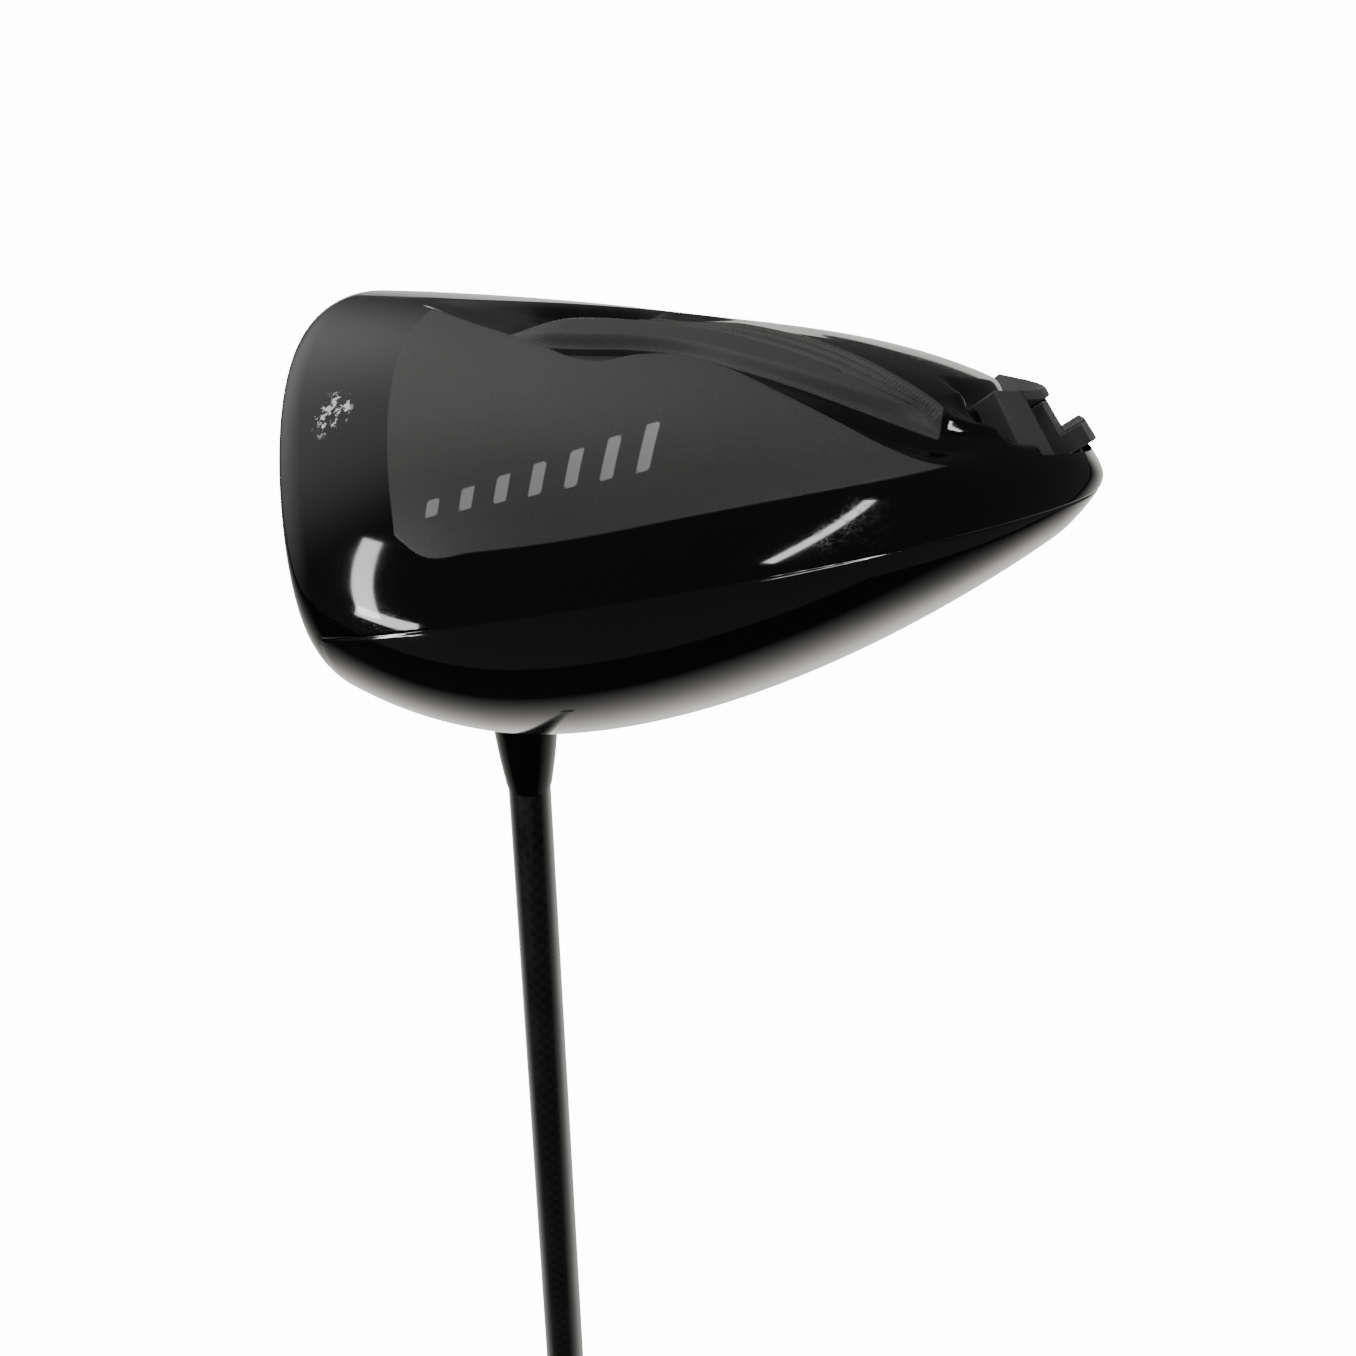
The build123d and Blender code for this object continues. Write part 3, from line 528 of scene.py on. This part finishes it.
def swept(name, profile, start, end, steps, capped=True):
    """Closed profile of (out, across) points swept along the track between two angles in degrees."""
    angles = np.radians(np.linspace(start, end, steps))
    points = np.array([[track_point(u, v, a) for u, v in profile] for a in angles])
    faces = ring_faces(steps, len(profile)).reshape(-1, 4).tolist()
    if capped:
        count = len(profile)
        faces += [list(range(count))[::-1], list(range((steps - 1) * count, steps * count))]
    flat = points.reshape(-1, 3)
    obj = new_mesh(name, to_club(flat), faces, attributes={"panel": np.ones(len(flat))})
    bm = bmesh.new()
    bm.from_mesh(obj.data)
    bmesh.ops.recalc_face_normals(bm, faces=bm.faces)
    bm.to_mesh(obj.data)
    bm.free()
    return obj


def edge_bevel(obj, width, segments=3):
    """Rounded edges wherever faces meet at a clear angle, with smooth shading between them."""
    bevel = obj.modifiers.new("edges", "BEVEL")
    bevel.width, bevel.segments = width, segments
    bevel.limit_method, bevel.angle_limit = "ANGLE", math.radians(35)
    bevel.harden_normals = False
    bpy.context.view_layer.objects.active = obj
    obj.select_set(True)
    bpy.ops.object.shade_smooth_by_angle(angle=math.radians(30))
    obj.select_set(False)


# the track's section: a rim at the skin, a mouth, a narrow neck, and the nut's chamber behind it
RIM, LIP, MOUTH, FLOOR_DEPTH = 0.6, 6.0, 4.5, -5.0
NECK_HALF, NECK_DEPTH = 3.5, -6.6
CHAMBER_HALF, CHAMBER_DEPTH, UNDERSIDE = 5.5, -11.2, -12.7
RAIL_HALF, END_START, END_STOP, END_DEPTH = 23.2, 23.0, 33.4, -9
half_channel = [
    (UNDERSIDE, -LIP), (RIM, -LIP), (RIM, -MOUTH), (FLOOR_DEPTH, -MOUTH), (FLOOR_DEPTH, -NECK_HALF),
    (NECK_DEPTH, -NECK_HALF), (NECK_DEPTH, -CHAMBER_HALF), (CHAMBER_DEPTH, -CHAMBER_HALF),
]
channel_profile = half_channel + [(out, -across) for out, across in reversed(half_channel)]
rail = swept("weight_rail", channel_profile, -RAIL_HALF, RAIL_HALF, 100, capped=False)
edge_bevel(rail, 0.0003)
ends = []
for side, label in ((1, "toe"), (-1, "heel")):
    block = [(END_DEPTH, -LIP), (RIM, -LIP), (RIM, LIP), (END_DEPTH, LIP)]
    end = swept(f"rail_end_{label}", block, *sorted((side * END_START, side * END_STOP)), 16)
    edge_bevel(end, 0.0012, 5)
    ends.append(end)
for piece in [rail] + ends:
    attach(piece, "head")

# ---------------------------------------------------------------- grip
GRIP_END, CAP_HEIGHT = 268.0, 13.0
grip_radius = curve([(CAP_HEIGHT, 13.05), (60, 12.55), (110, 11.65), (180, 10.55), (240, 9.85),
                     (GRIP_END, 9.2)])
PLAIN_BANDS, BAND_HALF = (82, 140, 198), 5.5
CUT_DEPTH, RING_DEPTH, RING_HALF = 0.32, 0.3, 0.55


def grip_skin(rows_up=560, around=180):
    """Grip with crossed fine grooves, and plain bands between them with a ring groove at each side."""
    z = np.linspace(CAP_HEIGHT, GRIP_END - 0.6, rows_up)[:, None]
    a = np.linspace(0, 2 * np.pi, around, endpoint=False)[None, :]
    r = grip_radius(z)[0] - 0.02
    lattice = np.abs(np.sin(7 * a + z * 0.62)) * np.abs(np.sin(7 * a - z * 0.62))
    cuts = 1 - smooth(0.0, 0.16, lattice)
    bands = smooth(20, 22, z) * (1 - smooth(250, 252, z))
    ring_heights = [16.5, 19, 254, 257, 260]
    for centre in PLAIN_BANDS:
        bands = bands * smooth(5.2, 6.2, np.abs(z - centre))
        ring_heights += [centre - BAND_HALF, centre + BAND_HALF]
    rings = np.zeros_like(z)
    for ring_height in ring_heights:
        rings = np.maximum(rings, 1 - smooth(0.0, RING_HALF, np.abs(z - ring_height)))
    r = r - CUT_DEPTH * cuts * bands - RING_DEPTH * rings
    points = np.stack([r * np.cos(a), r * np.sin(a), z + 0 * a], axis=-1)
    top_roll = [(0.985, 0.4), (0.955, 0.58), (0.75, 0.6)]
    rolled = [points[-1:] * [share, share, 1] + [0, 0, rise] for share, rise in top_roll]
    return np.concatenate([points[:1] * [0.6, 0.6, 1], points, *rolled])


skin = grip_skin()
grip_faces = ring_faces(*skin.shape[:2]).reshape(-1, 4)[:, ::-1]
grip = new_mesh("grip_skin", skin.reshape(-1, 3) / 1000, grip_faces.tolist())
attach(grip, "club")
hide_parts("grip")


# ---------------------------------------------------------------- materials
class Shader:
    """A principled material with short helpers for its nodes."""

    def __init__(self, name, **inputs):
        self.material = bpy.data.materials.new(name)
        self.material.use_nodes = True
        self.nodes = self.material.node_tree.nodes
        self.links = self.material.node_tree.links
        self.principled = self.nodes["Principled BSDF"]
        for key, value in inputs.items():
            self.set(key, value)
        self.place = self.add("ShaderNodeTexCoord").outputs["Object"]

    def set(self, key, value):
        socket = self.principled.inputs[key.replace("_", " ")]
        if hasattr(value, "is_linked"):
            self.links.new(value, socket)
        else:
            socket.default_value = (*value, 1) if isinstance(value, tuple) and len(value) == 3 else value

    def add(self, kind, inputs=(), **settings):
        node = self.nodes.new(kind)
        for key, value in settings.items():
            setattr(node, key, value)
        for key, value in dict(inputs).items():
            socket = node.inputs[key]
            if hasattr(value, "is_linked"):
                self.links.new(value, socket)
            else:
                socket.default_value = value
        return node

    def noise(self, scale, detail=3.0, rough=0.5, vector=None):
        inputs = {"Scale": scale, "Detail": detail, "Roughness": rough, "Vector": vector or self.place}
        return self.add("ShaderNodeTexNoise", inputs).outputs["Fac"]

    def stretched(self, scale, turn=(0, 0, 0)):
        node = self.add("ShaderNodeMapping", {"Vector": self.place, "Scale": scale, "Rotation": turn})
        return node.outputs["Vector"]

    def ramp(self, value, low, high, out_low=0.0, out_high=1.0):
        node = self.add("ShaderNodeMapRange", {0: value, 1: low, 2: high, 3: out_low, 4: out_high})
        return node.outputs[0]

    def math(self, operation, a, b=0.0):
        return self.add("ShaderNodeMath", {0: a, 1: b}, operation=operation).outputs[0]

    def mix(self, share, a, b):
        node = self.add("ShaderNodeMix", {0: share}, data_type="RGBA")
        for index, value in ((6, a), (7, b)):
            if hasattr(value, "is_linked"):
                self.links.new(value, node.inputs[index])
            else:
                node.inputs[index].default_value = (*value, 1)
        return node.outputs[2]

    def attribute(self, name):
        return self.add("ShaderNodeAttribute", attribute_name=name).outputs["Fac"]

    def bump(self, height, distance, strength=1.0):
        node = self.add("ShaderNodeBump", {"Height": height, "Distance": distance, "Strength": strength})
        self.links.new(node.outputs["Normal"], self.principled.inputs["Normal"])

    def scratches(self, scale, width, turns=((0.3, 0.2, 0.5), (1.2, 0.7, 0.1), (2.1, 1.6, 0.9))):
        """Fine straight marks in a few directions, as 0 to 1."""
        total = 0.0
        for turn in turns:
            lines = self.noise(scale, 2.0, 0.5, self.stretched((1.0, 24.0, 24.0), turn))
            marks = self.ramp(self.math("ABSOLUTE", self.math("SUBTRACT", lines, 0.5)), 0, width, 1, 0)
            total = self.math("MAXIMUM", marks, total)
        patches = self.ramp(self.noise(scale * 1.7), 0.5, 0.62)
        return self.math("MULTIPLY", total, patches)

    def wear_on_edges(self, radius):
        """1 on sharp convex edges, from the difference between the bevelled normal and the plain one."""
        geometry = self.add("ShaderNodeNewGeometry").outputs["Normal"]
        bevel = self.add("ShaderNodeBevel", {"Radius": radius}, samples=4).outputs[0]
        dot = self.add("ShaderNodeVectorMath", {0: geometry, 1: bevel}, operation="DOT_PRODUCT")
        return self.ramp(dot.outputs["Value"], 0.99, 0.9)

    def to(self, *objects):
        for obj in objects:
            obj.data.materials.clear()
            obj.data.materials.append(self.material)
        return self


def crown_paint():
    """Gloss black lacquer under a clear coat, with fine fleck, faint smears and hairline scratches."""
    paint = Shader("crown_paint", Metallic=0.0, Coat_Weight=1.0)
    paint.set("Coat Roughness", 0.02)
    fleck = paint.ramp(paint.noise(9000, 1.0), 0.62, 0.75)
    paint.set("Base Color", paint.mix(fleck, (0.0022, 0.0022, 0.0026), (0.008, 0.008, 0.011)))
    smears = paint.ramp(paint.noise(38, 4.0, 0.6), 0.4, 0.75, 0.05, 0.13)
    marks = paint.scratches(26, 0.006)
    paint.set("Roughness", paint.math("ADD", smears, paint.math("MULTIPLY", marks, 0.22)))
    paint.bump(paint.noise(210, 2.0), 0.00002, 0.25)
    return paint


def body_paint():
    """Gloss black, with bead-blasted dark areas on the toe's flank and the sole's tongues, and a painted
    highlight of light grey speckles on the front toe corner.
    """
    paint = Shader("body_metal", Coat_Weight=0.0, Metallic=0.0)
    panel = paint.ramp(paint.attribute("panel"), 0.02, 0.26)
    grain = paint.noise(5200, 2.0)
    cloud = paint.noise(55, 4.0, 0.6)
    matte = paint.mix(grain, (0.024, 0.0245, 0.024), (0.042, 0.043, 0.042))
    color = paint.mix(panel, (0.0022, 0.0022, 0.0028), matte)
    gloss = paint.ramp(cloud, 0.35, 0.75, 0.035, 0.10)
    marks = paint.scratches(30, 0.007)
    gloss = paint.math("ADD", gloss, paint.math("MULTIPLY", marks, 0.25))
    # painted highlight: light grey speckles on the front toe corner where it catches the light, rougher than
    # the gloss there
    highlight_speckle = paint.ramp(paint.noise(620, 5.0, 0.75), 0.5, 0.6)
    wear_and_highlight = paint.ramp(paint.math("MULTIPLY", highlight_speckle, paint.attribute("painted_highlight")), 0.34, 0.52)
    printed = paint.math("MULTIPLY", paint.ramp(paint.attribute("mark"), 0.02, 0.2), panel)
    color = paint.mix(printed, color, (0.2, 0.2, 0.2))
    # the light grey of the painted highlight on the front toe corner
    paint.set("Base Color", paint.mix(wear_and_highlight, color, (0.62, 0.63, 0.62)))
    rough = paint.add("ShaderNodeMix", {0: panel}, data_type="FLOAT")
    paint.links.new(gloss, rough.inputs[2])
    paint.links.new(paint.ramp(cloud, 0.3, 0.8, 0.42, 0.55), rough.inputs[3])
    paint.set("Roughness", paint.math("MAXIMUM", rough.outputs[0], paint.math("MULTIPLY", wear_and_highlight, 0.6)))
    blast = paint.math("MULTIPLY", paint.noise(3800, 2.0), panel)
    paint.bump(blast, 0.00004, 0.5)
    return paint


def plain_metal(name, color, rough, metallic=1.0):
    """Cloudy metal with a fine grain, and bare bright metal along its edges."""
    metal = Shader(name, Metallic=metallic)
    cloud = metal.noise(900, 3.0)
    tone = metal.mix(cloud, tuple(c * 0.8 for c in color), tuple(min(1, c * 1.2) for c in color))
    wear_and_highlight = metal.math("MULTIPLY", metal.wear_on_edges(0.0002), 0.6)
    metal.set("Base Color", metal.mix(wear_and_highlight, tone, (0.35, 0.35, 0.36)))
    metal.set("Roughness", metal.ramp(cloud, 0.3, 0.7, rough * 0.8, rough * 1.25))
    metal.bump(metal.noise(3600, 2.0), 0.00003, 0.4)
    return metal


def shaft_paint():
    """Dark clear-coated carbon: fine wound fibre under the gloss."""
    paint = Shader("shaft_paint", Coat_Weight=1.0, Metallic=0.0)
    paint.set("Coat Roughness", 0.03)
    split = paint.add("ShaderNodeSeparateXYZ", {"Vector": paint.place}).outputs
    angle = paint.math("ARCTAN2", split["Y"], split["X"])
    strands = 0.0
    for turn in (1, -1):
        rise = paint.math("MULTIPLY", split["Z"], turn * 1500.0)
        wind = paint.math("ADD", paint.math("MULTIPLY", angle, 9.0), rise)
        strands = paint.math("ADD", paint.math("SINE", wind), strands)
    fibre = paint.ramp(strands, -1.6, 1.6)
    paint.set("Base Color", paint.mix(fibre, (0.004, 0.0042, 0.0046), (0.009, 0.0092, 0.0097)))
    paint.set("Roughness", paint.ramp(paint.noise(60, 4.0), 0.3, 0.8, 0.22, 0.36))
    return paint


def rubber(name, color=(0.012, 0.012, 0.0125), rough=0.72):
    """Dull moulded rubber with a fine pebble."""
    soft = Shader(name, Metallic=0.0)
    cloud = soft.noise(140, 4.0, 0.6)
    soft.set("Base Color", soft.mix(cloud, tuple(c * 0.75 for c in color), tuple(c * 1.5 for c in color)))
    soft.set("Roughness", soft.ramp(cloud, 0.3, 0.8, rough * 0.85, min(1.0, rough * 1.2)))
    soft.bump(soft.noise(4200, 3.0), 0.00006, 0.6)
    return soft


def plastic(name, color, rough):
    """Moulded plastic with a faint cloud in its gloss."""
    shell = Shader(name, Metallic=0.0)
    cloud = shell.noise(90, 4.0)
    shell.set("Base Color", shell.mix(cloud, tuple(c * 0.85 for c in color), tuple(c * 1.15 for c in color)))
    shell.set("Roughness", shell.ramp(cloud, 0.3, 0.8, rough * 0.8, rough * 1.4))
    shell.bump(shell.noise(700, 3.0), 0.00002, 0.3)
    return shell


def face_finish():
    """Satin black face with fine milled lines."""
    metal = Shader("face_metal", Metallic=0.9)
    lines = metal.noise(700, 2.0, 0.5, metal.stretched((1.0, 1.0, 60.0)))
    metal.set("Base Color", metal.mix(lines, (0.018, 0.018, 0.019), (0.05, 0.05, 0.052)))
    metal.set("Roughness", metal.ramp(lines, 0.3, 0.7, 0.28, 0.42))
    metal.bump(lines, 0.00002, 0.4)
    return metal


node = frame["nodes"]
crown_paint().to(crown)
body_paint().to(body, neck, port_rim, rail, *ends)
face_finish().to(plate)
shaft_paint().to(node["shaft"])
rubber("grip_rubber").to(grip, node["grip_cap"])
rubber("elastomer", (0.015, 0.015, 0.015)).to(node["weight_pad"])
plastic("ferrule_plastic", (0.0025, 0.0025, 0.0028), 0.09).to(node["ferrule"])
plastic("nylon", (0.62, 0.6, 0.54), 0.4).to(node["hosel_screw_retainer"])
plastic("tape", (0.7, 0.67, 0.58), 0.75).to(node["grip_tape"])
plain_metal("anodised", (0.012, 0.012, 0.013), 0.3).to(node["adapter_sleeve"], node["adjuster_ring"])
plain_metal("weight_metal", (0.045, 0.045, 0.046), 0.5, metallic=0.0).to(
    node["slide_weight"], node["tip_weight"]
)
plain_metal("screw_steel", (0.45, 0.45, 0.46), 0.28).to(
    node["weight_screw"], node["weight_screw_clip"], node["weight_nut"], node["hosel_screw_washer"]
)
plain_metal("black_screw", (0.03, 0.03, 0.031), 0.3).to(node["hosel_screw"])
plain_metal("tube_metal", (0.5, 0.5, 0.51), 0.3).to(node["hosel_tube"])

# ---------------------------------------------------------------- floor, light and camera
head_middle = Vector(to_club([50, 0, 30]))
FLOOR_GLOW, TABLE_GLOW = 14.0, 0.95
FLOOR_HALF, BACKDROP_RADIUS = 30, 28


def sheet(name, height, x0, x1, y0, y1):
    """Level rectangle that isn't part of the object."""
    mesh = bpy.data.meshes.new(name)
    corners = [(x0, y0, height), (x1, y0, height), (x1, y1, height), (x0, y1, height)]
    mesh.from_pydata(corners, [], [(0, 1, 2, 3)])
    obj = bpy.data.objects.new(name, mesh)
    bpy.context.scene.collection.objects.link(obj)
    return obj


floor = sheet("floor", -0.002, -FLOOR_HALF, FLOOR_HALF, -FLOOR_HALF, FLOOR_HALF)
floor.visible_glossy = floor.visible_diffuse = False
pale = Shader("floor_pale", Base_Color=(0.93, 0.93, 0.92), Roughness=0.9)
pale.set("Emission Color", (1, 1, 1))
pale.set("Emission Strength", FLOOR_GLOW)
pale.to(floor)

# pale walls all round for the other views, seen by the camera alone
bpy.ops.mesh.primitive_uv_sphere_add(radius=BACKDROP_RADIUS, segments=48, ring_count=24)
backdrop = bpy.context.object
backdrop.name = "backdrop"
backdrop.visible_glossy = backdrop.visible_diffuse = False
backdrop.visible_shadow = backdrop.visible_transmission = False
pale.to(backdrop)

# the white table under and behind the head, as the gloss mirrors it; it darkens towards the viewer's side
table = sheet("table", -0.001, -1.6, 1.6, -0.9, 2.6)
table.visible_camera = table.visible_diffuse = table.visible_shadow = False
cloth = Shader("table_white", Base_Color=(0, 0, 0), Roughness=1.0)
spot = cloth.add("ShaderNodeSeparateXYZ", {"Vector": cloth.place}).outputs
ahead = cloth.ramp(spot["Y"], -0.3, 0.6)
beside = cloth.ramp(cloth.math("ABSOLUTE", spot["X"]), 1.5, 0.5)
cloth.set("Emission Color", (1.0, 0.98, 0.94))
cloth.set("Emission Strength", cloth.math("MULTIPLY", cloth.math("MULTIPLY", ahead, beside), TABLE_GLOW))
cloth.to(table)

# a soft pale glow from one side, which fades into a dim room
GLOW_SIDE = Vector((-0.82, 0.35, 0.45)).normalized()
GLOW_START, GLOW_FULL, ROOM_GLOW, SIDE_GLOW = 0.35, 0.98, 0.07, 1.0

world = bpy.data.worlds.new("studio")
world.use_nodes = True
sky_nodes, sky_links = world.node_tree.nodes, world.node_tree.links
sky_nodes["Background"].inputs["Color"].default_value = (1, 1, 0.98, 1)
direction = sky_nodes.new("ShaderNodeTexCoord").outputs["Generated"]
facing = sky_nodes.new("ShaderNodeVectorMath")
facing.operation = "DOT_PRODUCT"
facing.inputs[1].default_value = GLOW_SIDE
sky_links.new(direction, facing.inputs[0])
wall = sky_nodes.new("ShaderNodeMapRange")
wall.interpolation_type = "SMOOTHSTEP"
for index, value in enumerate((GLOW_START, GLOW_FULL, ROOM_GLOW, SIDE_GLOW), 1):
    wall.inputs[index].default_value = value
sky_links.new(facing.outputs["Value"], wall.inputs[0])
sky_links.new(wall.outputs[0], sky_nodes["Background"].inputs["Strength"])
bpy.context.scene.world = world

# the camera's place in the head's frame, and its turns
CAMERA = np.array([100.3, 326.9, -12.6])
YAW, PITCH, ROLL = 0.134, 0.202, -0.108
cy, sy, cp, sp, cr, sr = (f(v) for v in (YAW, PITCH, ROLL) for f in (math.cos, math.sin))
base = np.array([[1, 0, 0], [0, 0, -1], [0, 1, 0]])
yaw = np.array([[cy, 0, -sy], [0, 1, 0], [sy, 0, cy]])
pitch = np.array([[1, 0, 0], [0, cp, -sp], [0, sp, cp]])
roll = np.array([[cr, -sr, 0], [sr, cr, 0], [0, 0, 1]])
axes = (roll @ pitch @ yaw @ base) @ HEAD_AXES.T

camera_data = bpy.data.cameras.new("camera")
camera_data.sensor_width, camera_data.lens = 36, 58.4
camera_data.clip_start, camera_data.clip_end = 0.02, 100
camera = bpy.data.objects.new("camera", camera_data)
bpy.context.scene.collection.objects.link(camera)
camera.matrix_world = Matrix.Translation(Vector(to_club(CAMERA))) @ Matrix(axes.T.tolist()).to_4x4()
bpy.context.scene.camera = camera

right, up, back = (Vector(a) for a in axes)


def softbox(name, toward, long_side, reach, size, power, gloss=True):
    """Area light seen from the head along toward (right, up, back), its long side along long_side."""
    line = (right * toward[0] + up * toward[1] + back * toward[2]).normalized()
    side = right * long_side[0] + up * long_side[1] + back * long_side[2]
    side = (side - line * side.dot(line)).normalized()
    light = bpy.data.lights.new(name, "AREA")
    light.shape, light.size, light.size_y, light.energy = "RECTANGLE", size[0], size[1], power
    obj = bpy.data.objects.new(name, light)
    bpy.context.scene.collection.objects.link(obj)
    box_axes = Matrix((side, line.cross(side), line)).transposed().to_4x4()
    obj.matrix_world = Matrix.Translation(head_middle + line * reach) @ box_axes
    obj.visible_glossy = gloss
    obj.visible_camera = False


softbox("corner_light", (-0.76, -0.53, 0.34), (0.07, -0.47, -0.48), 1.2, (0.85, 0.13), 7)
softbox("corner_foot", (-0.63, -0.77, 0.12), (0.14, -0.08, 0.05), 1.2, (0.34, 0.13), 2.6)
softbox("streak_light", (0.64, -0.38, 0.67), (0.32, 0.64, 0.08), 1.2, (0.85, 0.06), 3.5)
softbox("top_light", (-0.2, 0.85, 0.45), (1, 0, 0), 1.0, (0.9, 0.6), 7, gloss=False)
softbox("tail_light", (0.85, 0.45, 0.25), (0, 1, 0), 1.0, (0.6, 0.6), 4, gloss=False)
softbox("front_light", (0.4, 0.1, 0.9), (0, 1, 0), 1.0, (0.7, 0.7), 2.5, gloss=False)
